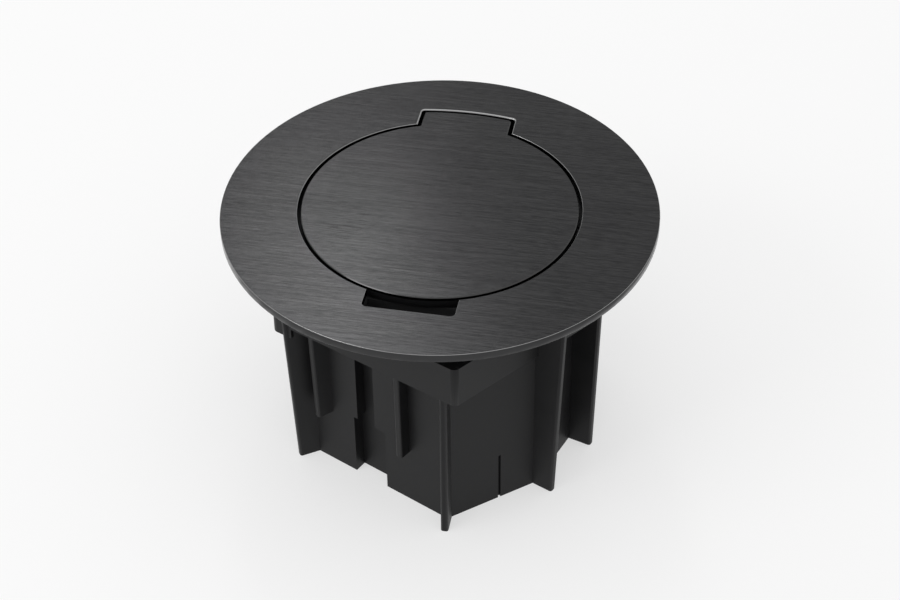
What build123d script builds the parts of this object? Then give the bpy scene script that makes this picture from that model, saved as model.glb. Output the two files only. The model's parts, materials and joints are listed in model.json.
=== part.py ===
from build123d import *
from math import cos, hypot, radians, sin
import os

os.makedirs("parts", exist_ok=True)

# Round floor socket box, millimetres. The origin is on the cover's axis at the
# underside of the box, +Z is up, and the lid's hinge is on the +Y side.

# Cover ring
cover_radius = 90.0
total_height = 110.0
ring_thickness = 3.6
ring_chamfer = 0.5
opening_radius = 58.45
tab_width = 40.7
tab_reach = 67.05
tab_edge_radius = 114.0
tab_corner_radius = 1.2
notch_width = 37.0
notch_reach = 65.5
notch_corner_radius = 2.0
stud_radius = 2.0
stud_tip = 1.0
stud_inset = 8.05
stud_angles = (-142.0, -38.0, 30.0, 150.0)
nut_width = 7.0
nut_height = 3.2
gasket_frame_gap = 2.5
gasket_width = 8.5
gasket_thickness = 1.2

# Lid
lid_gap = 1.5
lid_plate_thickness = 1.5
lid_edge_chamfer = 0.3
carrier_inset = 0.35
carrier_height = 3.5
carrier_skin = 1.5
carrier_rim_width = 3.0
rib_thickness = 1.6
rib_depth = 5.5
rib_ring_radius = 30.0
rib_reach = 45.0
rib_count = 8
lid_nut_width = 5.5
lid_nut_height = 2.4
lid_stud_radius = 1.5
lid_stud_circle_radius = 38.0
lid_stud_count = 4
lid_stud_tip = 0.6
bumper_radius = 2.2
bumper_height = 1.0
bumper_stem_radius = 1.2
bumper_stem_length = 1.8
bumper_angles = (-150.0, -60.0, -30.0, 25.0, 155.0)

# Hinge
hinge_drop = 4.0
hinge_inset = 6.95
pin_radius = 1.2
pin_length = 33.0
pin_clearance = 0.04
knuckle_depth = 1.7
knuckle_reach = 9.0
ear_radius = 2.2
ear_thickness = 2.0
ear_spacing = 22.0
ear_side_gap = 0.35
ear_front = 2.8
ear_back = 1.0
bracket_thickness = 1.2
bracket_width = 34.0
bracket_depth = 11.0
bracket_screw_spacing = 6.0
seat_gap = 0.3
slot_front_gap = 1.0
pin_chamfer = 0.25
bracket_corner = 1.0
bracket_screw_behind_pin = 0.4
bracket_screw_radius = 1.0
bracket_screw_length = 4.4
bracket_screw_head_radius = 2.0
bracket_screw_head_height = 0.45

# Moulded box
body_turn = 11.4
box_side_gap = 4.1
apex_offset = 1.2
apex_reach = 70.7
side_corner_reach = 28.2
shoulder_offset = 39.1
shoulder_reach = 50.0
flat_corner_reach = 22.6
wall = 2.5
floor_thickness = 2.5
cover_stack = 16.6
deck_thickness = 3.0
collar_height = 19.2
collar_apex_offset = 5.0
collar_apex_reach = 81.2
collar_left_width = 69.0
collar_left_reach = 28.7
collar_right_width = 66.0
collar_right_reach = 28.6
skirt_wall = 3.0
collar_corner_radius = 2.8
lug_radius = 9.0
lug_drop = 5.0

# Fins and ribs on the box; each row: direction in degrees, reach at its bottom, reach at its top
side_fin = (-157.5, 8.0, 11.5)
far_rib = (-147.0, 6.4, 8.0)
near_rib = (-129.0, 5.3, 6.0)
apex_fin = (-101.0, 7.4, 5.5)
shoulder_fin = (-36.0, 8.6, 12.5)
flat_corner_fin = (-29.0, 10.2, 12.5)
far_rib_from_apex = 61.5
near_rib_from_apex = 20.6
fin_thickness = 3.2
fin_root = 1.8
fin_edge_radius = 1.0
rib_bottom = 28.3
channel_depth = 5.4
channel_wall = 1.6
channel_step_height = 31.5
channel_low_start = 31.8
channel_low_end = 48.3
channel_high_start = 37.3
channel_high_end = 46.4
slot_width = 1.2
slot_depth = 1.0
slot_height = 24.6
slot_from_apex = 25.0
cut_overshoot = 1.0

# Inside the box
frame_screw_inset = 0.1
frame_screw_angles = (-128.6, 1.4, 51.4, 181.4)
frame_boss_radius = 4.0
frame_boss_depth = 16.0
frame_boss_floor = 2.0
frame_screw_radius = 1.9
frame_screw_length = 18.0
frame_screw_head_radius = 3.5
frame_screw_head_height = 2.2
head_play = 0.3
screw_play = 0.25
thread_clearance = 0.06
insert_height = 58.0
insert_thickness = 1.5
insert_radius = 48.0
pillar_offset_x = 29.0
pillar_offset_y = 31.0
pillar_radius = 4.0
small_screw_radius = 1.45
insert_screw_length = 10.0
small_screw_head_radius = 2.9
small_screw_head_height = 1.8
screw_tip_room = 2.0
base_hole_circle = 42.0
base_hole_radius = 2.25
base_hole_start = 70.0
base_hole_count = 4

# Cable entries
entry_height = 24.0
entry_radius = 10.2
spout_wall = 2.4
spout_length = 5.0
plug_rim_width = 1.8
plug_rim_thickness = 1.5
plug_wall = 1.6
plug_play = 0.1
clamp_distance = 38.0
clamp_screw_spacing = 20.0
clamp_boss_radius = 3.6
clamp_boss_height = 8.0
clamp_width = 8.0
clamp_thickness = 3.0
clamp_arch_radius = 4.2
clamp_screw_length = 9.0
earth_block_length = 14.0
earth_block_width = 8.0
earth_block_height = 8.0
earth_block_reach = 33.0
earth_block_corner = 0.8
earth_wire_radius = 1.9
earth_wire_height = 3.0
earth_hole_depth = 4.0

# Trim frame
frame_stud_edge = 7.5
frame_wall = 2.5
frame_top_thickness = 2.6
frame_opening_gap = 0.6
ledge_radius = 51.5
ledge_thickness = 2.6
pocket_wall = 2.0
pocket_floor = 3.6
pocket_gap = 1.0
scoop_depth = 10.0
scoop_floor = 2.0
scoop_back_wall = 0.6
neck_overlap = 1.0

# Well liner
liner_radius = 48.4
liner_wall = 1.5
liner_lip_radius = 50.6
liner_lip_thickness = 1.6
liner_drop = 2.5

# Power socket, 45 mm module
module_size = 45.0
module_flange = 2.0
module_corner = 1.5
module_cutout_gap = 0.4
module_step = 1.0
module_play = 0.1
power_x = -11.25
socket_well_radius = 19.5
socket_well_depth = 17.5
cup_wall = 1.5
pin_spacing = 19.0
pin_hole_radius = 2.9
socket_base_size = 41.6
socket_base_height = 18.0
post_size = 4.6
base_corner = 1.0
post_gap = 0.3
part_play = 0.3
shutter_travel = 5.8
shutter_length = 26.0
shutter_width = 12.0
shutter_thickness = 1.6
shutter_gap = 0.3
contact_width = 6.0
contact_blade = 0.9
contact_grip = 4.5
contact_height = 13.0
contact_spread = 0.6
contact_seat = 2.0
contact_wire_radius = 1.5
contact_wire_height = 2.9
terminal_hole_depth = 4.0
terminal_side_room = 1.3
terminal_block_length = 7.0
terminal_block_height = 8.0
terminal_screw_radius = 1.5
terminal_screw_length = 3.4
terminal_head_radius = 2.4
terminal_head_height = 1.4
earth_strip_width = 5.0
earth_strip_thickness = 0.8
earth_strip_inset = 1.6
earth_strip_bow = 0.2
earth_bow_height = 2.0
earth_tip_below_rim = 3.0

# Data outlet, half-width module
data_x = 22.5
data_width = 22.5
jack_offset = 11.0
jack_opening_width = 12.0
jack_opening_length = 9.0
jack_body_width = 15.0
jack_body_length = 15.0
jack_body_height = 20.0
jack_floor = 4.0
data_skirt_depth = 6.0
data_skirt_wall = 1.2
flap_width = 13.4
flap_length = 13.0
flap_thickness = 1.2
flap_lift = 0.4
trunnion_radius = 0.8
trunnion_clearance = 0.06
trunnion_length = 1.3
flap_lug_thickness = 1.6
flap_lug_gap = 0.3
flap_lug_radius = 1.9
flap_barrel_wall = 0.3
flap_lip_width = 8.0
flap_lip_depth = 1.2
flap_lip_height = 0.9
flap_lip_inset = 1.0

# Screw heads, as shares of their height and radius
head_rounding = 0.45
cross_reach = 1.1
cross_width = 0.28

# Heights and places that follow
deck_height = total_height - cover_stack
box_half_width = liner_radius + box_side_gap + wall
frame_screw_circle = box_half_width - frame_screw_inset
stud_circle_radius = opening_radius + stud_inset
frame_radius = stud_circle_radius + frame_stud_edge
gasket_inner_radius = frame_radius + gasket_frame_gap
gasket_outer_radius = gasket_inner_radius + gasket_width
ring_underside = total_height - ring_thickness
plate_underside = total_height - lid_plate_thickness
lid_underside = plate_underside - carrier_height
hinge_y = tab_reach - lid_gap - hinge_inset
hinge_z = total_height - hinge_drop
collar_bottom = deck_height - collar_height
deck_underside = deck_height - deck_thickness
ledge_top = lid_underside - bumper_height
pocket_top = deck_height + pocket_floor
scoop_top = ring_underside - scoop_depth + scoop_floor
well_floor = insert_height + module_flange - socket_well_depth
socket_base_top = well_floor - cup_wall
strip_reach = socket_well_radius - earth_strip_inset


def turned(x, y):
    """Point of the box's plan, turned about the cover's axis to its place under the cover."""
    angle = radians(body_turn)
    return (x * cos(angle) - y * sin(angle), x * sin(angle) + y * cos(angle))


def plan_outline(half):
    """Closed plan from half of its corners; the other half is the same turned by half a turn."""
    return [turned(x, y) for x, y in half] + [turned(-x, -y) for x, y in half]


def polar(radius, angle):
    """Point at a radius and an angle in degrees about the cover's axis."""
    return (radius * cos(radians(angle)), radius * sin(radians(angle)))


def wall_plane(start, end):
    """Upright plane on a wall: x runs along it from start, y is the height, z points outwards."""
    length = hypot(end[0] - start[0], end[1] - start[1])
    along = ((end[0] - start[0]) / length, (end[1] - start[1]) / length, 0)
    outwards = (along[1], -along[0], 0)
    return Plane(origin=(start[0], start[1], 0), x_dir=along, z_dir=outwards)


def radial_plane(point, angle):
    """Upright plane through a point: x points outwards at the angle, y is the height."""
    x_dir = (cos(radians(angle)), sin(radians(angle)), 0)
    return Plane(origin=(point[0], point[1], 0), x_dir=x_dir, z_dir=(x_dir[1], -x_dir[0], 0))


def tabbed_disc(clearance):
    """Plan of the cover's opening with the hinge tab, drawn smaller by the clearance."""
    with BuildSketch() as outline:
        with Locations((0, tab_reach - tab_edge_radius)):
            Circle(tab_edge_radius - clearance)
        Rectangle(
            tab_width - 2 * clearance,
            tab_reach,
            align=(Align.CENTER, Align.MIN),
            mode=Mode.INTERSECT,
        )
        Circle(opening_radius - clearance)
        outer = outline.vertices().filter_by(lambda v: v.Y > opening_radius and abs(v.X) > tab_width / 4)
        fillet(outer, tab_corner_radius)
    return outline.sketch


def hexagon_plate(width, height, hole_radius, plane):
    """Hexagon nut on a plane, with its hole."""
    with BuildPart() as nut:
        with BuildSketch(plane):
            RegularPolygon(width / 2, 6, major_radius=False)
            Circle(hole_radius, mode=Mode.SUBTRACT)
        extrude(amount=height)
    return nut.part


def pan_screw(x, y, seat, shank_radius, shank_length, head_radius, head_height):
    """Round-head screw that points down, with its head on the seat height and a cross slot."""
    with BuildPart() as screw:
        with BuildSketch(Plane.XY.offset(seat)):
            with Locations((x, y)):
                Circle(head_radius)
        extrude(amount=head_height)
        fillet(screw.edges().filter_by(GeomType.CIRCLE).sort_by(Axis.Z)[-1], head_height * head_rounding)
        with BuildSketch(Plane.XY.offset(seat + head_height * head_rounding)):
            with Locations((x, y)):
                Rectangle(head_radius * cross_reach, head_radius * cross_width)
                Rectangle(head_radius * cross_width, head_radius * cross_reach)
        extrude(amount=head_height, mode=Mode.SUBTRACT)
        with BuildSketch(Plane.XY.offset(seat)):
            with Locations((x, y)):
                Circle(shank_radius)
        extrude(amount=-shank_length)
    return screw.part


def save(shape, name):
    """Label a piece and write its file."""
    shape.label = name
    export_step(shape, f"parts/{name}.step")


def save_group(solids, name):
    """Write several separate solids as one node."""
    save(Compound(children=list(solids)), name)


stud_points = [polar(stud_circle_radius, angle) for angle in stud_angles]
lid_stud_step = 360 / lid_stud_count
lid_stud_points = [polar(lid_stud_circle_radius, lid_stud_step * (i + 0.5)) for i in range(lid_stud_count)]
bumper_circle = (ledge_radius + opening_radius - lid_gap - carrier_inset) / 2
bumper_points = [polar(bumper_circle, angle) for angle in bumper_angles]
frame_screw_points = [polar(frame_screw_circle, angle) for angle in frame_screw_angles]
pillar_points = [
    (x, y)
    for x in (-pillar_offset_x, pillar_offset_x)
    for y in (-pillar_offset_y, pillar_offset_y)
]
base_hole_points = [
    polar(base_hole_circle, base_hole_start + 360 / base_hole_count * i)
    for i in range(base_hole_count)
]
clamp_boss_points = [turned(-clamp_distance, y) for y in (-clamp_screw_spacing / 2, clamp_screw_spacing / 2)]

# Cover ring: flat plate with the lid's opening, the finger notch and four weld studs
stud_length = frame_top_thickness + nut_height + stud_tip
with BuildPart() as cover_ring:
    with BuildSketch(Plane.XY.offset(ring_underside)):
        Circle(cover_radius)
        add(tabbed_disc(0), mode=Mode.SUBTRACT)
        Rectangle(notch_width, notch_reach, align=(Align.CENTER, Align.MAX), mode=Mode.SUBTRACT)
    extrude(amount=ring_thickness)
    notch_edges = cover_ring.edges().filter_by(Axis.Z).filter_by(
        lambda e: abs(e.center().Y + notch_reach) < 0.1
    )
    fillet(notch_edges, notch_corner_radius)
    rim_edges = cover_ring.edges().filter_by(GeomType.CIRCLE).sort_by(SortBy.RADIUS)[-2:]
    chamfer(rim_edges.sort_by(Axis.Z)[-1], ring_chamfer)
    with BuildSketch(Plane.XY.offset(ring_underside)):
        with Locations(*stud_points):
            Circle(stud_radius)
    extrude(amount=-stud_length)
save(cover_ring.part, "cover_ring")

# Nuts that hold the ring to the trim frame
nut_seat = ring_underside - frame_top_thickness
ring_nuts = [
    hexagon_plate(nut_width, -nut_height, stud_radius + thread_clearance, Plane((x, y, nut_seat)))
    for x, y in stud_points
]
save_group(ring_nuts, "ring_nuts")

# Foam gasket between the ring and the floor covering
with BuildPart() as floor_gasket:
    with BuildSketch(Plane.XY.offset(ring_underside)):
        Circle(gasket_outer_radius)
        Circle(gasket_inner_radius, mode=Mode.SUBTRACT)
    extrude(amount=-gasket_thickness)
save(floor_gasket.part, "floor_gasket")

# Lid plate: brushed disc with its hinge tab and weld studs
with BuildPart() as lid_plate:
    with BuildSketch(Plane.XY.offset(plate_underside)):
        add(tabbed_disc(lid_gap))
    extrude(amount=lid_plate_thickness)
    chamfer(lid_plate.faces().sort_by(Axis.Z)[-1].outer_wire().edges(), lid_edge_chamfer)
    with BuildSketch(Plane.XY.offset(plate_underside)):
        with Locations(*lid_stud_points):
            Circle(lid_stud_radius)
    extrude(amount=-(carrier_skin + lid_nut_height + lid_stud_tip))
save(lid_plate.part, "lid_plate")

# Lid carrier: moulded tray under the plate, with rim, ribs and the hinge knuckle
carrier_clearance = lid_gap + carrier_inset
knuckle_front = hinge_y - knuckle_reach
slot_front = hinge_y - ear_front - slot_front_gap
with BuildPart() as lid_carrier:
    with BuildSketch(Plane.XY.offset(plate_underside)):
        add(tabbed_disc(carrier_clearance))
    extrude(amount=-carrier_skin)
    # Knuckle slab across the tab, with the pin's bore and a slot for each ear
    with BuildSketch(Plane.XY.offset(plate_underside)):
        with Locations((0, tab_reach - tab_edge_radius)):
            Circle(tab_edge_radius - carrier_clearance)
        with Locations((0, knuckle_front)):
            Rectangle(
                tab_width - 2 * carrier_clearance,
                tab_reach,
                align=(Align.CENTER, Align.MIN),
                mode=Mode.INTERSECT,
            )
    extrude(amount=-(plate_underside - hinge_z + knuckle_depth))
    with BuildSketch(Plane.YZ.offset(-tab_width / 2)):
        with Locations((hinge_y, hinge_z)):
            Circle(pin_radius + thread_clearance)
    extrude(amount=tab_width, mode=Mode.SUBTRACT)
    with BuildSketch(Plane.XY.offset(plate_underside)):
        with Locations((-ear_spacing / 2, slot_front), (ear_spacing / 2, slot_front)):
            Rectangle(ear_thickness + 2 * ear_side_gap, tab_reach, align=(Align.CENTER, Align.MIN))
    extrude(amount=-2 * carrier_height, mode=Mode.SUBTRACT)
    # Rim that lies on the bumpers, then ring and spoke ribs
    with BuildSketch(Plane.XY.offset(plate_underside)):
        Circle(opening_radius - carrier_clearance)
        Circle(opening_radius - carrier_clearance - carrier_rim_width, mode=Mode.SUBTRACT)
        with Locations((0, hinge_y)):
            Rectangle(tab_width, 2 * knuckle_reach, mode=Mode.SUBTRACT)
    extrude(amount=-carrier_height)
    with BuildSketch(Plane.XY.offset(plate_underside - carrier_skin)):
        Circle(rib_ring_radius + rib_thickness / 2)
        Circle(rib_ring_radius - rib_thickness / 2, mode=Mode.SUBTRACT)
        with PolarLocations(rib_reach / 2, rib_count, start_angle=180 / rib_count):
            Rectangle(rib_reach, rib_thickness)
    extrude(amount=-(rib_depth - carrier_skin))
    with BuildSketch(Plane.XY.offset(plate_underside)):
        with Locations(*lid_stud_points):
            Circle(lid_stud_radius + screw_play)
    extrude(amount=-carrier_height, mode=Mode.SUBTRACT)
save(lid_carrier.part, "lid_carrier")

lid_nut_seat = plate_underside - carrier_skin
lid_nut_hole = lid_stud_radius + thread_clearance
lid_nuts = [
    hexagon_plate(lid_nut_width, -lid_nut_height, lid_nut_hole, Plane((x, y, lid_nut_seat)))
    for x, y in lid_stud_points
]
save_group(lid_nuts, "lid_nuts")

# Hinge pin, through the bracket's ears and the carrier's knuckle
with BuildPart() as hinge_pin:
    with BuildSketch(Plane.YZ.offset(-pin_length / 2)):
        with Locations((hinge_y, hinge_z)):
            Circle(pin_radius)
    extrude(amount=pin_length)
    chamfer(hinge_pin.edges().filter_by(GeomType.CIRCLE), pin_chamfer)
save(hinge_pin.part, "hinge_pin")

# Hinge bracket: folded steel foot with two ears
pocket_front = hinge_y - ear_front - pocket_gap
bracket_screw_y = hinge_y + bracket_screw_behind_pin
bracket_screw_points = [(side * bracket_screw_spacing / 2, bracket_screw_y) for side in (-1, 1)]
with BuildPart() as hinge_bracket:
    with BuildSketch(Plane.XY.offset(pocket_top)):
        with Locations((0, pocket_front + seat_gap + bracket_depth / 2)):
            RectangleRounded(bracket_width, bracket_depth, bracket_corner)
    extrude(amount=bracket_thickness)
    for side in (-1, 1):
        with BuildSketch(Plane.YZ.offset(side * ear_spacing / 2 - ear_thickness / 2)):
            with Locations((hinge_y, hinge_z)):
                Circle(ear_radius)
            with BuildLine():
                Polyline(
                    (hinge_y - ear_radius, hinge_z),
                    (hinge_y - ear_front, pocket_top),
                    (hinge_y + ear_back, pocket_top),
                    (hinge_y + ear_back, hinge_z),
                    close=True,
                )
            make_face()
            with Locations((hinge_y, hinge_z)):
                Circle(pin_radius + pin_clearance, mode=Mode.SUBTRACT)
        extrude(amount=ear_thickness)
    with BuildSketch(Plane.XY.offset(pocket_top)):
        with Locations(*bracket_screw_points):
            Circle(bracket_screw_radius + screw_play)
    extrude(amount=bracket_thickness, mode=Mode.SUBTRACT)
save(hinge_bracket.part, "hinge_bracket")

# Trim frame: ring-shaped moulding that carries the cover and holds the lid's ledge
frame_opening_radius = opening_radius + frame_opening_gap
inner_wall_radius = frame_opening_radius + frame_wall
neck_radius = ledge_radius + frame_wall
pocket_back = tab_reach + pocket_gap
pocket_width = tab_width + 2 * pocket_gap
pocket_length = pocket_back - pocket_front
scoop_length = notch_reach - neck_radius - scoop_back_wall
scoop_block_length = notch_reach + pocket_wall - neck_radius + neck_overlap
with BuildPart() as trim_frame:
    with BuildSketch(Plane.XZ):
        with BuildLine():
            Polyline(
                (ledge_radius, deck_height),
                (neck_radius, deck_height),
                (neck_radius, ledge_top - ledge_thickness),
                (inner_wall_radius, ledge_top - ledge_thickness),
                (inner_wall_radius, ring_underside - frame_top_thickness),
                (frame_radius - frame_wall, ring_underside - frame_top_thickness),
                (frame_radius - frame_wall, deck_height),
                (frame_radius, deck_height),
                (frame_radius, ring_underside),
                (frame_opening_radius, ring_underside),
                (frame_opening_radius, ledge_top),
                (ledge_radius, ledge_top),
                close=True,
            )
        make_face()
    revolve(axis=Axis.Z)
    # Bosses round the screws that hold the frame down
    with BuildSketch(Plane.XY.offset(deck_height)):
        with Locations(*frame_screw_points):
            Circle(frame_boss_radius)
    extrude(amount=ledge_top - deck_height)
    # Hinge pocket and finger scoop: boxes that hang from the top, then are hollowed
    with BuildSketch(Plane.XY.offset(deck_height)):
        with Locations((0, pocket_front - pocket_wall)):
            Rectangle(
                pocket_width + 2 * pocket_wall,
                pocket_length + 2 * pocket_wall,
                align=(Align.CENTER, Align.MIN),
            )
        with Locations((0, -notch_reach - pocket_wall)):
            Rectangle(
                notch_width + 2 * pocket_wall,
                scoop_block_length,
                align=(Align.CENTER, Align.MIN),
            )
        Circle(frame_radius, mode=Mode.INTERSECT)
        Circle(ledge_radius, mode=Mode.SUBTRACT)
    extrude(amount=ring_underside - deck_height)
    with BuildSketch(Plane.XY.offset(pocket_top)):
        with Locations((0, pocket_front)):
            Rectangle(pocket_width, pocket_length, align=(Align.CENTER, Align.MIN))
    extrude(amount=total_height - pocket_top, mode=Mode.SUBTRACT)
    with BuildSketch(Plane.XY.offset(scoop_top)):
        with Locations((0, -notch_reach)):
            Rectangle(notch_width, scoop_length, align=(Align.CENTER, Align.MIN))
    extrude(amount=total_height - scoop_top, mode=Mode.SUBTRACT)
    # The tab and lid drop in from above
    with BuildSketch(Plane.XY.offset(ledge_top)):
        Circle(frame_opening_radius)
        Rectangle(pocket_width, pocket_back, align=(Align.CENTER, Align.MIN))
    extrude(amount=total_height - ledge_top, mode=Mode.SUBTRACT)
    # Screw holes with their counterbores, bumper seats and stud holes
    with Locations(*[(x, y, ledge_top) for x, y in frame_screw_points]):
        CounterBoreHole(
            frame_screw_radius + screw_play,
            frame_screw_head_radius + head_play,
            frame_screw_head_height + head_play,
        )
    with Locations(*[(x, y, ledge_top) for x, y in bumper_points]):
        Hole(bumper_stem_radius + thread_clearance, ledge_thickness)
    with Locations(*[(x, y, ring_underside) for x, y in stud_points]):
        Hole(stud_radius + screw_play, frame_top_thickness)
    with Locations(*[(x, y, pocket_top) for x, y in bracket_screw_points]):
        Hole(bracket_screw_radius + thread_clearance, pocket_floor)
save(trim_frame.part, "trim_frame")

bracket_screws = [
    pan_screw(
        x, y, pocket_top + bracket_thickness,
        bracket_screw_radius, bracket_screw_length, bracket_screw_head_radius, bracket_screw_head_height,
    )
    for x, y in bracket_screw_points
]
save_group(bracket_screws, "bracket_screws")

# Rubber bumpers that the closed lid rests on
bumpers = []
for x, y in bumper_points:
    with BuildPart() as bumper:
        with BuildSketch(Plane.XY.offset(ledge_top)):
            with Locations((x, y)):
                Circle(bumper_radius)
        extrude(amount=bumper_height)
        with BuildSketch(Plane.XY.offset(ledge_top)):
            with Locations((x, y)):
                Circle(bumper_stem_radius)
        extrude(amount=-bumper_stem_length)
    bumpers.append(bumper.part)
save_group(bumpers, "lid_bumpers")

frame_screw_seat = ledge_top - frame_screw_head_height - head_play
frame_screws = [
    pan_screw(
        x, y, frame_screw_seat,
        frame_screw_radius, frame_screw_length, frame_screw_head_radius, frame_screw_head_height,
    )
    for x, y in frame_screw_points
]
save_group(frame_screws, "frame_screws")

# Moulded box: shell, collar deck with its skirt, fins, ribs, channels, bosses and entries
side_corner = (-box_half_width, -side_corner_reach)
apex = (apex_offset, -apex_reach)
shoulder = (shoulder_offset, -shoulder_reach)
flat_corner = (box_half_width, -flat_corner_reach)
box_outline = plan_outline([side_corner, apex, shoulder, flat_corner])
collar_left = (-collar_left_width, -collar_left_reach)
collar_outline = plan_outline([
    collar_left,
    (collar_apex_offset, -collar_apex_reach),
    (collar_right_width, -collar_right_reach),
])


def fin(point, direction, low_reach, high_reach, bottom):
    """Upright fin on the box, standing out further at its top, with rounded outer edges."""
    plane = radial_plane(turned(*point), direction + body_turn)
    with BuildPart() as blade:
        with BuildSketch(plane):
            with BuildLine():
                Polyline(
                    (-fin_root, bottom),
                    (low_reach, bottom),
                    (high_reach, deck_underside),
                    (-fin_root, deck_underside),
                    close=True,
                )
            make_face()
        extrude(amount=fin_thickness / 2, both=True)
        outer = blade.faces().sort_by(lambda f: (f.center() - plane.origin).dot(plane.x_dir))[-1]
        fillet(outer.edges().sort_by(SortBy.LENGTH)[-2:], fin_edge_radius)
    return blade.part


def along_wall(start, end, distance):
    """Point of the box's plan at a distance from start on the wall to end."""
    share = distance / hypot(end[0] - start[0], end[1] - start[1])
    return (start[0] + (end[0] - start[0]) * share, start[1] + (end[1] - start[1]) * share)


# Foot of each fin on the box, its row of values and its bottom
fin_list = [
    (side_corner, side_fin, 0.0),
    (along_wall(apex, side_corner, far_rib_from_apex), far_rib, rib_bottom),
    (along_wall(apex, side_corner, near_rib_from_apex), near_rib, rib_bottom),
    (apex, apex_fin, 0.0),
    (shoulder, shoulder_fin, 0.0),
    (flat_corner, flat_corner_fin, 0.0),
]

with BuildPart() as housing:
    with BuildSketch():
        Polygon(*box_outline, align=None)
    extrude(amount=deck_height)
    with BuildSketch(Plane.XY.offset(collar_bottom)) as collar_sketch:
        Polygon(*collar_outline, align=None)
        fillet(collar_sketch.vertices(), collar_corner_radius)
    extrude(amount=collar_height)
    with BuildSketch(Plane.XY.offset(collar_bottom)):
        Polygon(*collar_outline, align=None)
        offset(amount=-skirt_wall, kind=Kind.INTERSECTION)
        Polygon(*box_outline, align=None, mode=Mode.SUBTRACT)
    extrude(amount=collar_height - deck_thickness, mode=Mode.SUBTRACT)
    # Lugs that hang lower at two corners of the collar
    with BuildSketch(Plane.XY.offset(collar_bottom - lug_drop)) as lug_sketch:
        Polygon(*collar_outline, align=None)
        fillet(lug_sketch.vertices(), collar_corner_radius)
        with Locations(turned(*collar_left), turned(-collar_left[0], -collar_left[1])):
            Circle(lug_radius, mode=Mode.INTERSECT)
    extrude(amount=lug_drop + collar_height - deck_thickness)
    for point, (direction, low_reach, high_reach), bottom in fin_list:
        for sign, half_turn in ((1, 0), (-1, 180)):
            foot = (sign * point[0], sign * point[1])
            add(fin(foot, direction + half_turn, low_reach, high_reach, bottom))
    # Hollow inside
    with BuildSketch(Plane.XY.offset(floor_thickness)):
        Polygon(*box_outline, align=None)
        offset(amount=-wall, kind=Kind.INTERSECTION)
    extrude(amount=deck_height, mode=Mode.SUBTRACT)
    # Stepped channels in two opposite walls, lined on the inside
    for sign in (1, -1):
        start = turned(sign * side_corner[0], sign * side_corner[1])
        end = turned(sign * apex[0], sign * apex[1])
        face_plane = wall_plane(start, end)
        length = hypot(end[0] - start[0], end[1] - start[1])
        low_centre = length - (channel_low_start + channel_low_end) / 2
        low_width = channel_low_end - channel_low_start
        high_centre = length - (channel_high_start + channel_high_end) / 2
        high_width = channel_high_end - channel_high_start
        liner_depth = channel_depth + channel_wall
        with BuildSketch(face_plane.offset(-liner_depth)):
            with Locations((low_centre, deck_underside / 2)):
                Rectangle(low_width + 2 * channel_wall, deck_underside)
        extrude(amount=liner_depth - wall / 2)
        with BuildSketch(face_plane.offset(-channel_depth)):
            with Locations((low_centre, channel_step_height / 2)):
                Rectangle(low_width, channel_step_height)
            with Locations((high_centre, deck_underside / 2)):
                Rectangle(high_width, deck_underside)
        extrude(amount=channel_depth + cut_overshoot, mode=Mode.SUBTRACT)
        # Thin upright slot in the next wall
        next_end = turned(sign * shoulder[0], sign * shoulder[1])
        with BuildSketch(wall_plane(end, next_end).offset(-slot_depth)):
            with Locations((slot_from_apex, slot_height / 2)):
                Rectangle(slot_width, slot_height)
        extrude(amount=slot_depth + cut_overshoot, mode=Mode.SUBTRACT)
    # Bosses for the frame's screws and pillars for the insert
    with BuildSketch(Plane.XY.offset(deck_height - frame_boss_depth)):
        with Locations(*frame_screw_points):
            Circle(frame_boss_radius)
    extrude(amount=frame_boss_depth)
    with BuildSketch(Plane.XY.offset(floor_thickness)):
        with Locations(*pillar_points):
            Circle(pillar_radius)
    extrude(amount=insert_height - insert_thickness - floor_thickness)
    # Cable entries in the two side walls, each with a spout inside
    for sign in (1, -1):
        start = turned(sign * box_half_width, -sign * flat_corner_reach)
        end = turned(sign * box_half_width, sign * side_corner_reach)
        entry_plane = wall_plane(start, end).offset(-wall - spout_length)
        with BuildSketch(entry_plane):
            with Locations((flat_corner_reach, entry_height)):
                Circle(entry_radius + spout_wall)
        extrude(amount=spout_length + wall)
        with BuildSketch(entry_plane):
            with Locations((flat_corner_reach, entry_height)):
                Circle(entry_radius)
        extrude(amount=spout_length + wall, mode=Mode.SUBTRACT)
    # Bosses for the cable clamp
    with BuildSketch(Plane.XY.offset(floor_thickness)):
        with Locations(*clamp_boss_points):
            Circle(clamp_boss_radius)
    extrude(amount=clamp_boss_height)
    # Screw holes from above, and fixing holes through the floor
    with Locations(*[(x, y, deck_height) for x, y in frame_screw_points]):
        Hole(frame_screw_radius + thread_clearance, frame_boss_depth - frame_boss_floor)
    with Locations(*[(x, y, insert_height - insert_thickness) for x, y in pillar_points]):
        Hole(small_screw_radius + thread_clearance, insert_screw_length + screw_tip_room)
    with Locations(*[(x, y, floor_thickness + clamp_boss_height) for x, y in clamp_boss_points]):
        Hole(small_screw_radius + thread_clearance, clamp_boss_height)
    with Locations(*[(x, y, floor_thickness) for x, y in base_hole_points]):
        Hole(base_hole_radius, floor_thickness)
save(housing.part, "housing")

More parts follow.
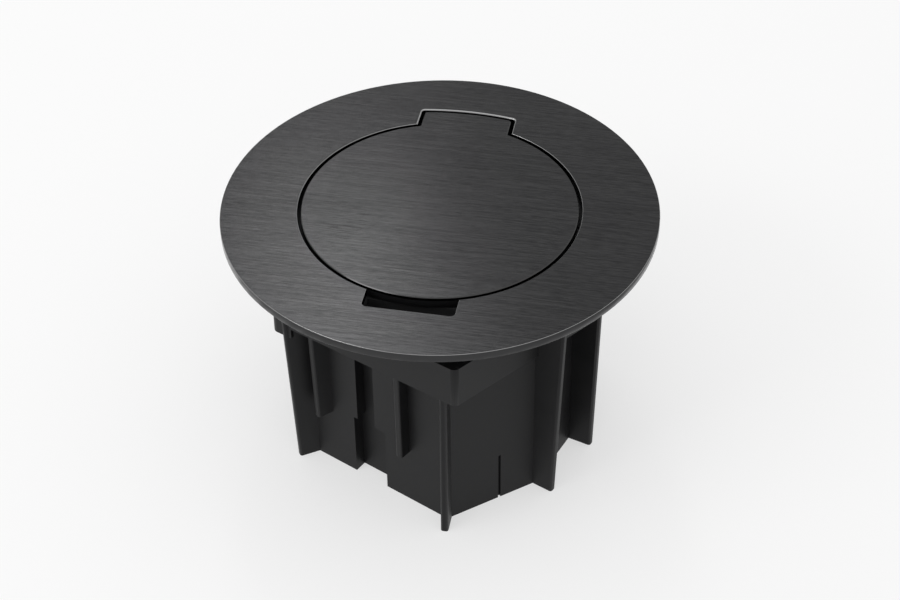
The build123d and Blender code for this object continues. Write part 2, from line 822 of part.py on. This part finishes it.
# Plug in the unused cable entry
plug_wall_start = turned(box_half_width, -flat_corner_reach)
plug_wall_end = turned(box_half_width, side_corner_reach)
plug_plane = wall_plane(plug_wall_start, plug_wall_end)
with BuildPart() as blanking_plug:
    with BuildSketch(plug_plane):
        with Locations((flat_corner_reach, entry_height)):
            Circle(entry_radius + plug_rim_width)
    extrude(amount=plug_rim_thickness)
    with BuildSketch(plug_plane.offset(-wall - spout_length)):
        with Locations((flat_corner_reach, entry_height)):
            Circle(entry_radius - plug_play)
    extrude(amount=wall + spout_length)
    with BuildSketch(plug_plane.offset(-wall - spout_length)):
        with Locations((flat_corner_reach, entry_height)):
            Circle(entry_radius - plug_play - plug_wall)
    extrude(amount=wall + spout_length - plug_wall, mode=Mode.SUBTRACT)
save(blanking_plug.part, "blanking_plug")

# Cable clamp: arched bar held by two screws on the floor's bosses
clamp_seat = floor_thickness + clamp_boss_height
clamp_origin = (*turned(-clamp_distance, 0), clamp_seat)
clamp_plane = Plane(origin=clamp_origin, x_dir=(*turned(0, 1), 0), z_dir=(*turned(1, 0), 0))
with BuildPart() as cable_clamp:
    with BuildSketch(clamp_plane.offset(-clamp_width / 2)):
        with Locations((0, clamp_thickness / 2)):
            Rectangle(clamp_screw_spacing + clamp_width, clamp_thickness)
        Circle(clamp_arch_radius + clamp_thickness)
        with Locations((0, -clamp_arch_radius - clamp_thickness)):
            Rectangle(4 * clamp_arch_radius, 2 * (clamp_arch_radius + clamp_thickness), mode=Mode.SUBTRACT)
        Circle(clamp_arch_radius, mode=Mode.SUBTRACT)
    extrude(amount=clamp_width)
    with Locations(*[(x, y, clamp_seat + clamp_thickness) for x, y in clamp_boss_points]):
        Hole(small_screw_radius + screw_play, clamp_thickness)
save(cable_clamp.part, "cable_clamp")

clamp_screws = [
    pan_screw(
        x, y, clamp_seat + clamp_thickness,
        small_screw_radius, clamp_screw_length, small_screw_head_radius, small_screw_head_height,
    )
    for x, y in clamp_boss_points
]
save_group(clamp_screws, "clamp_screws")

# Earth terminal: brass block on the floor with a wire hole and its screw
earth_block_top = floor_thickness + earth_block_height
earth_screw_places = (-earth_block_length / 4, earth_block_length / 4)
with BuildPart() as earth_terminal:
    with BuildSketch(Plane.XY.offset(floor_thickness)):
        with Locations((0, -earth_block_reach)):
            RectangleRounded(earth_block_length, earth_block_width, earth_block_corner)
    extrude(amount=earth_block_height)
    with BuildSketch(Plane.YZ.offset(-earth_block_length)):
        with Locations((-earth_block_reach, floor_thickness + earth_wire_height)):
            Circle(earth_wire_radius)
    extrude(amount=2 * earth_block_length, mode=Mode.SUBTRACT)
    with Locations(*[(x, -earth_block_reach, earth_block_top) for x in earth_screw_places]):
        Hole(terminal_screw_radius + thread_clearance, earth_hole_depth)
save(earth_terminal.part, "earth_terminal")

earth_screws = [
    pan_screw(
        x, -earth_block_reach, earth_block_top,
        terminal_screw_radius, terminal_screw_length, terminal_head_radius, terminal_head_height,
    )
    for x in earth_screw_places
]
save_group(earth_screws, "earth_screws")

# Insert plate with a cut-out for each module
cutout_trim = 2 * module_step - module_cutout_gap
with BuildPart() as insert_plate:
    with BuildSketch(Plane.XY.offset(insert_height - insert_thickness)):
        Circle(insert_radius)
        with Locations((power_x, 0)):
            Rectangle(module_size - cutout_trim, module_size - cutout_trim, mode=Mode.SUBTRACT)
        with Locations((data_x, 0)):
            Rectangle(data_width - cutout_trim, module_size - cutout_trim, mode=Mode.SUBTRACT)
        with Locations(*pillar_points):
            Circle(small_screw_radius + screw_play, mode=Mode.SUBTRACT)
    extrude(amount=insert_thickness)
save(insert_plate.part, "insert_plate")

insert_screws = [
    pan_screw(
        x, y, insert_height,
        small_screw_radius, insert_screw_length, small_screw_head_radius, small_screw_head_height,
    )
    for x, y in pillar_points
]
save_group(insert_screws, "insert_screws")

# Well liner: smooth round sleeve between the insert and the lid's ledge
liner_top = ledge_top - liner_drop
with BuildPart() as well_liner:
    with BuildSketch(Plane.XY.offset(insert_height)):
        Circle(liner_radius)
        Circle(liner_radius - liner_wall, mode=Mode.SUBTRACT)
    extrude(amount=liner_top - insert_height)
    with BuildSketch(Plane.XY.offset(liner_top)):
        Circle(liner_lip_radius)
        Circle(liner_radius - liner_wall, mode=Mode.SUBTRACT)
    extrude(amount=-liner_lip_thickness)
save(well_liner.part, "well_liner")

# Power socket front: square flange with a round cup and two pin holes
module_top = insert_height + module_flange
with BuildPart() as socket_front:
    with BuildSketch(Plane.XY.offset(insert_height)):
        with Locations((power_x, 0)):
            RectangleRounded(module_size - 2 * module_play, module_size - 2 * module_play, module_corner)
    extrude(amount=module_flange)
    with BuildSketch(Plane.XY.offset(well_floor - cup_wall)):
        with Locations((power_x, 0)):
            Circle(socket_well_radius + cup_wall)
    extrude(amount=insert_height - well_floor + cup_wall)
    with BuildSketch(Plane.XY.offset(well_floor)):
        with Locations((power_x, 0)):
            Circle(socket_well_radius)
    extrude(amount=socket_well_depth, mode=Mode.SUBTRACT)
    with BuildSketch(Plane.XY.offset(well_floor)):
        with Locations((power_x - pin_spacing / 2, 0), (power_x + pin_spacing / 2, 0)):
            Circle(pin_hole_radius)
        with Locations((power_x, strip_reach), (power_x, -strip_reach)):
            Rectangle(earth_strip_width + 2 * part_play, earth_strip_thickness + 2 * part_play)
    extrude(amount=-cup_wall, mode=Mode.SUBTRACT)
save(socket_front.part, "socket_front")

# Power socket base: block behind the cup, with pockets for shutter and contacts and corner posts
base_bottom = socket_base_top - socket_base_height
shutter_pocket_depth = shutter_thickness + 2 * shutter_gap
pocket_start = -shutter_width / 2 - shutter_gap
pocket_end = shutter_width / 2 + shutter_travel + shutter_gap
post_centre = socket_base_size / 2 - post_size / 2
contact_pocket_length = contact_grip + 2 * contact_blade + 2 * contact_spread
block_x = pin_spacing / 2 + contact_grip / 2 + contact_blade + terminal_block_length / 2
with BuildPart() as socket_base:
    with BuildSketch(Plane.XY.offset(base_bottom)):
        with Locations((power_x, 0)):
            RectangleRounded(socket_base_size, socket_base_size, base_corner)
    extrude(amount=socket_base_height)
    with BuildSketch(Plane.XY.offset(socket_base_top)):
        with Locations((power_x, 0)):
            with GridLocations(2 * post_centre, 2 * post_centre, 2, 2):
                Rectangle(post_size, post_size)
            Circle(socket_well_radius + cup_wall + post_gap, mode=Mode.SUBTRACT)
    extrude(amount=insert_height - socket_base_top)
    with BuildSketch(Plane.XY.offset(socket_base_top)):
        with Locations((power_x, (pocket_start + pocket_end) / 2)):
            Rectangle(shutter_length + 2 * shutter_gap, pocket_end - pocket_start)
    extrude(amount=-shutter_pocket_depth, mode=Mode.SUBTRACT)
    # Contact pockets, open below, with the terminal block beside each
    with BuildSketch(Plane.XY.offset(socket_base_top)):
        for side in (-1, 1):
            with Locations((power_x + side * pin_spacing / 2, 0)):
                Rectangle(contact_pocket_length, contact_width + 2 * part_play)
            with Locations((power_x + side * block_x, 0)):
                Rectangle(terminal_block_length + 2 * part_play, contact_width + 2 * terminal_side_room)
    extrude(amount=contact_seat - socket_base_height, mode=Mode.SUBTRACT)
    with BuildSketch(Plane.XY.offset(socket_base_top)):
        for side in (-1, 1):
            with Locations((power_x, side * strip_reach)):
                Rectangle(earth_strip_width + 2 * part_play, earth_strip_thickness + 2 * part_play)
    extrude(amount=-socket_base_height, mode=Mode.SUBTRACT)
    with BuildSketch(Plane.XY.offset(base_bottom)):
        with Locations((power_x, 0)):
            Rectangle(
                earth_strip_width + 2 * part_play,
                2 * strip_reach + earth_strip_thickness + 2 * part_play,
            )
    extrude(amount=earth_strip_thickness + part_play, mode=Mode.SUBTRACT)
save(socket_base.part, "socket_base")

# Socket contacts: a sprung fork for each pin, with a terminal block at its foot
contact_bottom = base_bottom + contact_seat
contacts = []
for side in (-1, 1):
    fork_x = power_x + side * pin_spacing / 2
    with BuildPart() as contact:
        with BuildSketch(Plane.XZ.offset(-contact_width / 2)):
            with Locations((fork_x, contact_bottom + contact_height / 2)):
                Rectangle(contact_grip + 2 * contact_blade, contact_height)
            with Locations((fork_x, contact_bottom + contact_height / 2 + contact_blade)):
                Rectangle(contact_grip, contact_height, mode=Mode.SUBTRACT)
            with Locations((power_x + side * block_x, contact_bottom + terminal_block_height / 2)):
                Rectangle(terminal_block_length, terminal_block_height)
        extrude(amount=contact_width)
        with BuildSketch(Plane.XZ.offset(-contact_width)):
            with Locations((power_x + side * block_x, contact_bottom + contact_wire_height)):
                Circle(contact_wire_radius)
        extrude(amount=2 * contact_width, mode=Mode.SUBTRACT)
        with Locations((power_x + side * block_x, 0, contact_bottom + terminal_block_height)):
            Hole(terminal_screw_radius + thread_clearance, terminal_hole_depth)
    contacts.append(contact.part)
save_group(contacts, "socket_contacts")

terminal_screws = [
    pan_screw(
        power_x + side * block_x, 0, contact_bottom + terminal_block_height,
        terminal_screw_radius, terminal_screw_length, terminal_head_radius, terminal_head_height,
    )
    for side in (-1, 1)
]
save_group(terminal_screws, "terminal_screws")

# Earth contact: one bent strip that comes up on both sides of the cup
earth_tip = module_top - earth_tip_below_rim
with BuildPart() as earth_contact:
    with BuildSketch(Plane.YZ.offset(power_x - earth_strip_width / 2)):
        with BuildLine():
            Polyline(
                (-strip_reach, earth_tip),
                (-strip_reach + earth_strip_bow, well_floor + earth_bow_height),
                (-strip_reach, base_bottom + earth_strip_thickness / 2),
                (strip_reach, base_bottom + earth_strip_thickness / 2),
                (strip_reach - earth_strip_bow, well_floor + earth_bow_height),
                (strip_reach, earth_tip),
            )
            offset(amount=earth_strip_thickness / 2, side=Side.BOTH, closed=True)
        make_face()
    extrude(amount=earth_strip_width)
save(earth_contact.part, "earth_contact")

# Shutter: slides to uncover the pin holes
shutter_z = socket_base_top - shutter_gap - shutter_thickness
with BuildPart() as socket_shutter:
    with BuildSketch(Plane.XY.offset(shutter_z)):
        with Locations((power_x, 0)):
            RectangleRounded(shutter_length, shutter_width, base_corner)
        with Locations((power_x, -shutter_travel)):
            with GridLocations(pin_spacing, 0, 2, 1):
                Circle(pin_hole_radius, mode=Mode.SUBTRACT)
    extrude(amount=shutter_thickness)
save(socket_shutter.part, "socket_shutter")

# Data outlet front: half-width flange with two openings and the flaps' lugs
with BuildPart() as data_front:
    with BuildSketch(Plane.XY.offset(insert_height)):
        with Locations((data_x, 0)):
            RectangleRounded(data_width - 2 * module_play, module_size - 2 * module_play, module_corner)
        with Locations((data_x, -jack_offset), (data_x, jack_offset)):
            Rectangle(jack_opening_width, jack_opening_length, mode=Mode.SUBTRACT)
    extrude(amount=module_flange)
    with BuildSketch(Plane.XY.offset(insert_height)):
        with Locations((data_x, 0)):
            Rectangle(data_width - 2 * module_step, module_size - 2 * module_step)
            Rectangle(
                data_width - 2 * module_step - 2 * data_skirt_wall,
                module_size - 2 * module_step - 2 * data_skirt_wall,
                mode=Mode.SUBTRACT,
            )
    extrude(amount=-data_skirt_depth)
    trunnion_z = module_top + flap_lift + trunnion_radius + flap_barrel_wall
    lug_x = flap_width / 2 + flap_lug_gap + flap_lug_thickness / 2
    for centre in (-jack_offset, jack_offset):
        for side in (-1, 1):
            with BuildSketch(Plane.YZ.offset(data_x + side * lug_x - flap_lug_thickness / 2)):
                with Locations((centre + flap_length / 2, trunnion_z)):
                    Circle(flap_lug_radius)
                    Rectangle(2 * flap_lug_radius, trunnion_z - module_top, align=(Align.CENTER, Align.MAX))
                with Locations((centre + flap_length / 2, trunnion_z)):
                    Circle(trunnion_radius + trunnion_clearance, mode=Mode.SUBTRACT)
            extrude(amount=flap_lug_thickness)
save(data_front.part, "data_front")

# Jacks behind the data outlet, and the dust flap over each
for number, centre in enumerate((-jack_offset, jack_offset), start=1):
    with BuildPart() as jack:
        with BuildSketch(Plane.XY.offset(insert_height)):
            with Locations((data_x, centre)):
                Rectangle(jack_body_width, jack_body_length)
        extrude(amount=-jack_body_height)
        with BuildSketch(Plane.XY.offset(insert_height)):
            with Locations((data_x, centre)):
                Rectangle(jack_opening_width, jack_opening_length)
        extrude(amount=jack_floor - jack_body_height, mode=Mode.SUBTRACT)
    save(jack.part, f"data_jack_{number}")
    with BuildPart() as flap:
        with BuildSketch(Plane.XY.offset(module_top + flap_lift)):
            with Locations((data_x, centre)):
                Rectangle(flap_width, flap_length)
        extrude(amount=flap_thickness)
        with BuildSketch(Plane.YZ.offset(data_x - flap_width / 2)):
            with Locations((centre + flap_length / 2, trunnion_z)):
                Circle(trunnion_radius + flap_barrel_wall)
        extrude(amount=flap_width)
        with BuildSketch(Plane.YZ.offset(data_x - flap_width / 2 - trunnion_length)):
            with Locations((centre + flap_length / 2, trunnion_z)):
                Circle(trunnion_radius)
        extrude(amount=flap_width + 2 * trunnion_length)
        with BuildSketch(Plane.XY.offset(module_top + flap_lift + flap_thickness)):
            with Locations((data_x, centre - flap_length / 2 + flap_lip_inset)):
                Rectangle(flap_lip_width, flap_lip_depth)
        extrude(amount=flap_lip_height)
    save(flap.part, f"data_flap_{number}")
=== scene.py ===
"""Looks of the round floor socket box: materials, softened edges, studio and camera. Metres throughout."""
import json
import math

import bmesh
import bpy
from mathutils import Matrix, Vector


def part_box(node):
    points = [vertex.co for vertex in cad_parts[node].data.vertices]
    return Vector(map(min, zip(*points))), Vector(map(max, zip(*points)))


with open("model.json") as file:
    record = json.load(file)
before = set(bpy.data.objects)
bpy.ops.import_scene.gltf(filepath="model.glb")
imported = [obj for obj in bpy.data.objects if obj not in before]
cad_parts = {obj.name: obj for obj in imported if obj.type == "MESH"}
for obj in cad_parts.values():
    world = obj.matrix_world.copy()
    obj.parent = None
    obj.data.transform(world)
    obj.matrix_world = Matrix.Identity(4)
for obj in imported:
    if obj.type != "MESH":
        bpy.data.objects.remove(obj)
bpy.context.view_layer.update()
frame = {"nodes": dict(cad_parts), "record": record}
nodes = frame["nodes"]

# Camera, worked out from the photograph's ellipses and the box's upright edges
PLAN_TURN = math.radians(11.4)       # the photograph's sideways direction, turned about +Z
CAMERA_PLACE = (0.0036, -0.6870, 0.6559)
CAMERA_PITCH = math.radians(40.96)
CAMERA_ROLL = math.radians(0.87)
CAMERA_LENS = 85.63                  # millimetres, as the sensor's width is
SENSOR_WIDTH = 36.0
CLIP_START = 0.01
CLIP_END = 50.0

# Studio: softboxes as (name, place, width, depth, power), aimed at the cover's middle
SOFTBOXES = (
    ("overhead", (0.0, 0.0, 1.90), 1.40, 1.40, 2.5),
    ("back_strip", (-0.13, 1.17, 1.62), 0.24, 1.00, 2.6),
    ("front_left", (-1.14, -0.62, 1.15), 0.90, 0.50, 4.8),
)
WORLD_STRENGTH = 0.78
WHITE = (1.0, 1.0, 1.0)
FLOOR_GLOW = 0.55                    # share of plain white that the camera sees in the floor
FLOOR_COLOR = (0.93, 0.93, 0.93)
FLOOR_ROUGHNESS = 0.9
FLOOR_SPECULAR = 0.1
FLOOR_RADIUS = 8.0
FLOOR_SEGMENTS = 96

# Softened edges of the moulded and stamped pieces: node, width in metres
SOFT_EDGES = {
    "cover_ring": 0.00028,
    "housing": 0.00050,
    "trim_frame": 0.00030,
    "lid_carrier": 0.00030,
    "well_liner": 0.00030,
    "socket_front": 0.00030,
    "data_front": 0.00030,
    "data_flap_1": 0.00030,
    "data_flap_2": 0.00030,
    "cable_clamp": 0.00030,
    "earth_terminal": 0.00040,
    "insert_plate": 0.00030,
    "blanking_plug": 0.00030,
}
SOFT_SEGMENTS = 2
SHARP_ANGLE = math.radians(40)       # edges that turn more than this are rounded
LEVEL_ANGLE = math.radians(0.5)      # facets that turn less than this are one face again

# Colours of the brushed cover and of the dust on the mouldings
COAT_DARK = (0.040, 0.040, 0.041)
COAT_LIGHT = (0.048, 0.048, 0.049)
STREAK_DARK = (0.028, 0.028, 0.029)
STREAK_LIGHT = (0.058, 0.058, 0.059)
RING_CHAMFER = (0.37, 0.37, 0.37)
LID_CHAMFER = (0.07, 0.07, 0.07)
DUST_COLOR = (0.30, 0.29, 0.28)

# Noises, as waves per metre along x, y and z
FINE_BRUSHING = (190.0, 2900.0, 190.0)
BROAD_BRUSHING = (40.0, 1700.0, 40.0)
COAT_CLOUDS = (14.0, 22.0, 14.0)
MOULD_TEXTURE = (2600.0, 2600.0, 2600.0)
MOULD_FLOW = (26.0, 26.0, 60.0)
DUST_SPECKS = (700.0, 700.0, 700.0)
PLATING_CLOUDS = (180.0, 180.0, 180.0)
DRAWN_LINES = (120.0, 120.0, 2400.0)

# Heights of the bumps
BRUSHING_HEIGHT = 0.00004
MOULD_HEIGHT = 0.000012
DRAWN_HEIGHT = 0.000010

# Sockets that a Mix node uses for colours
MIX_FACTOR = 0
MIX_FIRST = 6
MIX_SECOND = 7
MIX_RESULT = 2


def studio_place(place):
    """Point given in the photograph's own directions, as a point of the object's frame."""
    return Matrix.Rotation(PLAN_TURN, 4, "Z") @ Vector(place)


# Material graphs
def new_material(name):
    """Empty material with a Principled shader; returns the material, its tree and the shader."""
    material = bpy.data.materials.new(name)
    material.use_nodes = True
    tree = material.node_tree
    return material, tree, tree.nodes["Principled BSDF"]


def add_node(tree, kind, inputs=None, **settings):
    """New node with its settings and the values of its unlinked inputs."""
    made = tree.nodes.new(kind)
    for key, value in settings.items():
        setattr(made, key, value)
    for key, value in (inputs or {}).items():
        made.inputs[key].default_value = value
    return made


def noise(tree, waves, detail=3.0, roughness=0.55):
    """Noise over the object's own coordinates; waves are per metre along x, y and z."""
    place = add_node(tree, "ShaderNodeTexCoord")
    mapping = add_node(tree, "ShaderNodeMapping", {"Scale": waves})
    made = add_node(tree, "ShaderNodeTexNoise", {"Scale": 1.0, "Detail": detail, "Roughness": roughness})
    tree.links.new(place.outputs["Object"], mapping.inputs["Vector"])
    tree.links.new(mapping.outputs["Vector"], made.inputs["Vector"])
    return made.outputs["Fac"]


def remap(tree, value, low, high, start=0.3, end=0.7):
    """Value spread from low to high as its input goes from start to end."""
    limits = {"From Min": start, "From Max": end, "To Min": low, "To Max": high}
    made = add_node(tree, "ShaderNodeMapRange", limits)
    tree.links.new(value, made.inputs["Value"])
    return made.outputs["Result"]


def blend_colors(tree, factor, first, second):
    """Colour between two others; each is a colour or an output."""
    made = add_node(tree, "ShaderNodeMix", data_type="RGBA")
    for index, color in ((MIX_FIRST, first), (MIX_SECOND, second)):
        if isinstance(color, tuple):
            made.inputs[index].default_value = (*color, 1.0)
        else:
            tree.links.new(color, made.inputs[index])
    tree.links.new(factor, made.inputs[MIX_FACTOR])
    return made.outputs[MIX_RESULT]


def arithmetic(tree, operation, first, second):
    """Result of an operation on an output and another output or a number."""
    made = add_node(tree, "ShaderNodeMath", operation=operation)
    tree.links.new(first, made.inputs[0])
    if isinstance(second, (int, float)):
        made.inputs[1].default_value = second
    else:
        tree.links.new(second, made.inputs[1])
    return made.outputs[0]


def bump(tree, shader, height, distance, strength):
    """Relief on the shader's normal, in metres at full height."""
    made = add_node(tree, "ShaderNodeBump", {"Distance": distance, "Strength": strength})
    tree.links.new(height, made.inputs["Height"])
    tree.links.new(made.outputs["Normal"], shader.inputs["Normal"])


def facing_up(tree):
    """How far a face looks along the object's own +Z."""
    place = add_node(tree, "ShaderNodeTexCoord")
    parts = add_node(tree, "ShaderNodeSeparateXYZ")
    tree.links.new(place.outputs["Normal"], parts.inputs["Vector"])
    return parts.outputs["Z"]


def brushed_cover(name, chamfer_color):
    """Black coated metal with streaks along x on its flat top; its chamfer is worn to chamfer_color."""
    material, tree, shader = new_material(name)
    fine = noise(tree, FINE_BRUSHING, roughness=0.6)
    broad = noise(tree, BROAD_BRUSHING, detail=2.0, roughness=0.5)
    clouds = noise(tree, COAT_CLOUDS, detail=2.0)
    grain = arithmetic(
        tree,
        "ADD",
        arithmetic(tree, "MULTIPLY", fine, 0.6),
        arithmetic(tree, "MULTIPLY", broad, 0.4),
    )
    flat = remap(tree, facing_up(tree), 0.0, 1.0, 0.93, 0.99)
    not_flat = remap(tree, facing_up(tree), 1.0, 0.0, 0.93, 0.99)
    upward = remap(tree, facing_up(tree), 0.0, 1.0, 0.35, 0.6)
    worn = arithmetic(tree, "MULTIPLY", upward, not_flat)
    plain = blend_colors(tree, remap(tree, clouds, 0.0, 1.0), COAT_DARK, COAT_LIGHT)
    streaks = blend_colors(tree, remap(tree, grain, 0.0, 1.0, 0.38, 0.62), STREAK_DARK, STREAK_LIGHT)
    coat = blend_colors(tree, flat, plain, streaks)
    tree.links.new(blend_colors(tree, worn, coat, chamfer_color), shader.inputs["Base Color"])
    tree.links.new(remap(tree, clouds, 0.18, 0.22, 0.35, 0.65), shader.inputs["Roughness"])
    shader.inputs["Metallic"].default_value = 1.0
    bump(tree, shader, arithmetic(tree, "MULTIPLY", grain, flat), BRUSHING_HEIGHT, 0.6)
    return material


def moulded(name, color, roughness, specular=0.5, dust=0.15):
    """Moulded plastic with a fine eroded texture, slight flow marks and a little dust on what faces up."""
    material, tree, shader = new_material(name)
    texture = noise(tree, MOULD_TEXTURE, detail=2.0)
    flow = noise(tree, MOULD_FLOW)
    specks = noise(tree, DUST_SPECKS, detail=4.0, roughness=0.75)
    lighter = tuple(channel * 1.25 + 0.002 for channel in color)
    body = blend_colors(tree, remap(tree, flow, 0.0, 1.0), color, lighter)
    dusty = arithmetic(
        tree,
        "MULTIPLY",
        remap(tree, specks, 0.0, dust, 0.58, 0.72),
        remap(tree, facing_up(tree), 0.0, 1.0, 0.4, 0.95),
    )
    tree.links.new(blend_colors(tree, dusty, body, DUST_COLOR), shader.inputs["Base Color"])
    spread = arithmetic(
        tree,
        "ADD",
        remap(tree, flow, -0.04, 0.04),
        remap(tree, texture, roughness - 0.03, roughness + 0.05),
    )
    tree.links.new(spread, shader.inputs["Roughness"])
    shader.inputs["Specular IOR Level"].default_value = specular
    bump(tree, shader, texture, MOULD_HEIGHT, 0.5)
    return material


def plated(name, color, roughness):
    """Plated or plain metal with cloudy tone and faint drawn lines."""
    material, tree, shader = new_material(name)
    clouds = noise(tree, PLATING_CLOUDS, detail=4.0)
    lines = noise(tree, DRAWN_LINES)
    darker = tuple(channel * 0.72 for channel in color)
    tone = blend_colors(tree, remap(tree, clouds, 0.0, 1.0), darker, color)
    tree.links.new(tone, shader.inputs["Base Color"])
    tree.links.new(remap(tree, lines, roughness - 0.06, roughness + 0.1), shader.inputs["Roughness"])
    shader.inputs["Metallic"].default_value = 1.0
    bump(tree, shader, lines, DRAWN_HEIGHT, 0.4)
    return material


def soft_black(name, color, cell, depth):
    """Rubber or foam: a pitted surface with cells and pits of the given size and depth, in metres."""
    material, tree, shader = new_material(name)
    place = add_node(tree, "ShaderNodeTexCoord")
    cells = add_node(tree, "ShaderNodeTexVoronoi", {"Scale": 1.0 / cell})
    tree.links.new(place.outputs["Object"], cells.inputs["Vector"])
    pits = remap(tree, cells.outputs["Distance"], 0.0, 1.0, 0.1, 0.6)
    lighter = tuple(channel * 1.6 for channel in color)
    tree.links.new(blend_colors(tree, pits, color, lighter), shader.inputs["Base Color"])
    tree.links.new(remap(tree, pits, 0.75, 0.92, 0.0, 1.0), shader.inputs["Roughness"])
    bump(tree, shader, pits, depth, 0.6)
    return material


SLOT_MATERIALS = {
    "brushed_cover": brushed_cover("brushed_cover", RING_CHAMFER),
    "black_moulding": moulded("black_moulding", (0.0065, 0.0065, 0.007), 0.46, specular=0.22),
    "module_plastic": moulded("module_plastic", (0.055, 0.056, 0.059), 0.36, dust=0.06),
    "grey_moulding": moulded("grey_moulding", (0.21, 0.21, 0.215), 0.48, dust=0.04),
    "zinc_steel": plated("zinc_steel", (0.56, 0.57, 0.59), 0.30),
    "brass": plated("brass", (0.74, 0.56, 0.27), 0.28),
    "foam_rubber": soft_black("foam_rubber", (0.022, 0.022, 0.023), 0.0006, 0.0001),
    "soft_rubber": soft_black("soft_rubber", (0.030, 0.030, 0.031), 0.0003, 0.00002),
}

# Nodes that don't look as their slot does: the lid's chamfer is hardly worn, the frame is made paler as
# painted light on the notch's floor, and the screws are darkened as painted shade so no bright screw shows
# in the lid's gap
OWN_MATERIALS = {
    "lid_plate": brushed_cover("brushed_lid", LID_CHAMFER),
    # paler colour: painted light for the notch's floor, which is lit from above
    "trim_frame": moulded("frame_moulding_painted_light", (0.024, 0.024, 0.025), 0.62, specular=0.12),
    # near-black colour: painted shade, so the screws stay dark in the lid's shaded gap
    "frame_screws": plated("dark_steel_painted_shade", (0.050, 0.050, 0.052), 0.45),
}


def dress_nodes():
    """Give every CAD node its own material, or else that of its slot."""
    for row in frame["record"]["subparts"]:
        node = nodes[row["node"]]
        node.data.materials.clear()
        node.data.materials.append(OWN_MATERIALS.get(row["node"], SLOT_MATERIALS[row["material_slot"]]))


def soften_edges(node, width):
    """Round a node's sharp edges, with its shortest edges merged and its flat faces made whole first."""
    weld = node.modifiers.new("weld", "WELD")
    weld.merge_threshold = width / 2
    whole = node.modifiers.new("whole faces", "DECIMATE")
    whole.decimate_type = "DISSOLVE"
    whole.angle_limit = LEVEL_ANGLE
    round_off = node.modifiers.new("round edges", "BEVEL")
    round_off.width = width
    round_off.segments = SOFT_SEGMENTS
    round_off.limit_method = "ANGLE"
    round_off.angle_limit = SHARP_ANGLE
    round_off.use_clamp_overlap = True
    round_off.harden_normals = True


# Studio
def build_floor():
    """Round pale floor, large enough to reach past every view."""
    mesh = bpy.data.meshes.new("floor")
    plan = bmesh.new()
    bmesh.ops.create_circle(plan, cap_ends=True, radius=FLOOR_RADIUS, segments=FLOOR_SEGMENTS)
    plan.to_mesh(mesh)
    plan.free()
    floor = bpy.data.objects.new("floor", mesh)
    bpy.context.scene.collection.objects.link(floor)
    material, tree, shader = new_material("pale_floor")
    shader.inputs["Base Color"].default_value = (*FLOOR_COLOR, 1.0)
    shader.inputs["Roughness"].default_value = FLOOR_ROUGHNESS
    shader.inputs["Specular IOR Level"].default_value = FLOOR_SPECULAR
    rays = add_node(tree, "ShaderNodeLightPath")
    seen = arithmetic(tree, "MAXIMUM", rays.outputs["Is Camera Ray"], rays.outputs["Is Glossy Ray"])
    glow = add_node(tree, "ShaderNodeEmission", {"Color": (*WHITE, 1.0), "Strength": 1.0})
    mixed = add_node(tree, "ShaderNodeMixShader")
    tree.links.new(arithmetic(tree, "MULTIPLY", seen, FLOOR_GLOW), mixed.inputs["Fac"])
    tree.links.new(shader.outputs["BSDF"], mixed.inputs[1])
    tree.links.new(glow.outputs["Emission"], mixed.inputs[2])
    tree.links.new(mixed.outputs["Shader"], tree.nodes["Material Output"].inputs["Surface"])
    mesh.materials.append(material)


def build_softboxes():
    """Rectangular area lamps aimed at the middle of the cover."""
    target = Vector((0.0, 0.0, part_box("cover_ring")[1].z))
    for name, place, width, depth, power in SOFTBOXES:
        lamp = bpy.data.lights.new(name, "AREA")
        lamp.shape = "RECTANGLE"
        lamp.size = width
        lamp.size_y = depth
        lamp.energy = power
        softbox = bpy.data.objects.new(name, lamp)
        softbox.location = studio_place(place)
        softbox.rotation_mode = "QUATERNION"
        softbox.rotation_quaternion = (target - softbox.location).to_track_quat("-Z", "Y")
        bpy.context.scene.collection.objects.link(softbox)


def build_world():
    """Even white surroundings; the camera sees them as plain white."""
    world = bpy.data.worlds.new("studio")
    bpy.context.scene.world = world
    world.use_nodes = True
    tree = world.node_tree
    background = tree.nodes["Background"]
    background.inputs["Color"].default_value = (*WHITE, 1.0)
    rays = add_node(tree, "ShaderNodeLightPath")
    strength = remap(tree, rays.outputs["Is Camera Ray"], WORLD_STRENGTH, 1.0, 0.0, 1.0)
    tree.links.new(strength, background.inputs["Strength"])


def build_camera():
    """Camera at the photograph's place, pitch and small roll."""
    camera = bpy.data.cameras.new("camera")
    camera.lens = CAMERA_LENS
    camera.sensor_width = SENSOR_WIDTH
    camera.clip_start = CLIP_START
    camera.clip_end = CLIP_END
    view = bpy.data.objects.new("camera", camera)
    turn = Matrix.Rotation(PLAN_TURN, 4, "Z")
    tilt = Matrix.Rotation(math.pi / 2 - CAMERA_PITCH, 4, "X")
    roll = Matrix.Rotation(-CAMERA_ROLL, 4, "Z")
    view.matrix_world = Matrix.Translation(studio_place(CAMERA_PLACE)) @ turn @ tilt @ roll
    bpy.context.scene.collection.objects.link(view)
    bpy.context.scene.camera = view


dress_nodes()
for name, width in SOFT_EDGES.items():
    soften_edges(nodes[name], width)
build_floor()
build_softboxes()
build_world()
build_camera()
scene = bpy.context.scene
scene.view_settings.view_transform = "Standard"
